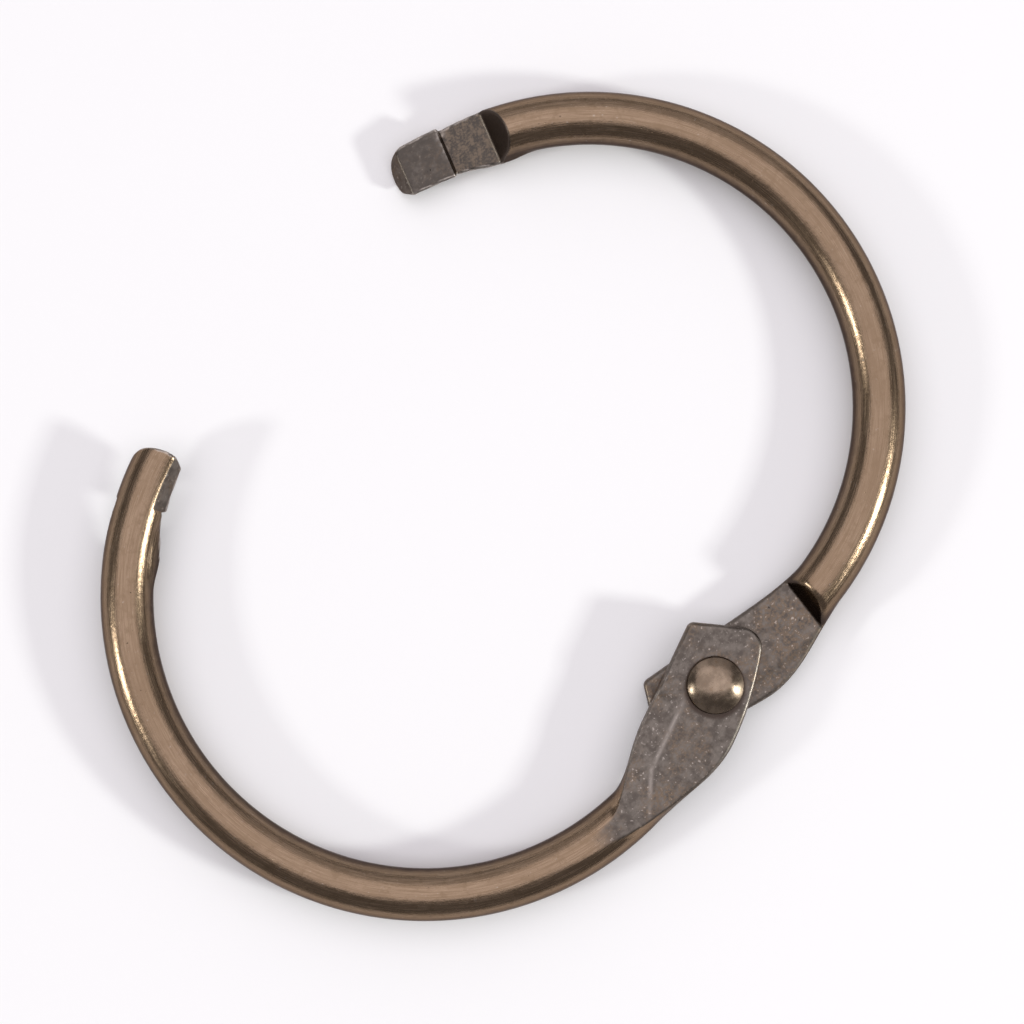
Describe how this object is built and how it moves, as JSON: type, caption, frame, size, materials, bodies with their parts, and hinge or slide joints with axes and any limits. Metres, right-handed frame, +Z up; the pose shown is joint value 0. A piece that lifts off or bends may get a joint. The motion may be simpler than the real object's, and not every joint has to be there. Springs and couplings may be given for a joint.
{
  "type": "binder ring",
  "caption": "Loose-leaf ring of two round-wire halves riveted at pressed hinge tabs, with hooked half-lap ends that snap together.",
  "frame": {"origin": "middle of the open ring's footprint, on the surface that it lies on", "axes": "+X runs across the open ring from the upper half to the lower half, +Y from the hinge to the open mouth, and +Z up along the rivet's axis"},
  "size_m": [0.0402, 0.0296, 0.0032],
  "materials": {
    "half_ring": "antique bronze plating, rubbed and brushed",
    "rivet": "antique bronze plating, worn bright"
  },
  "bodies": {
    "lower_half": {"lower_half_ring": "half_ring", "hinge_rivet": "rivet"},
    "upper_half": {"upper_half_ring": "half_ring"}
  },
  "joints": [
    {"name": "hinge", "type": "hinge", "parent": "lower_half", "child": "upper_half", "pos_m": [0.00018, -0.01193, 0.00134], "axis": [0, 0, 1], "range_deg": [-46, 125]}
  ]
}
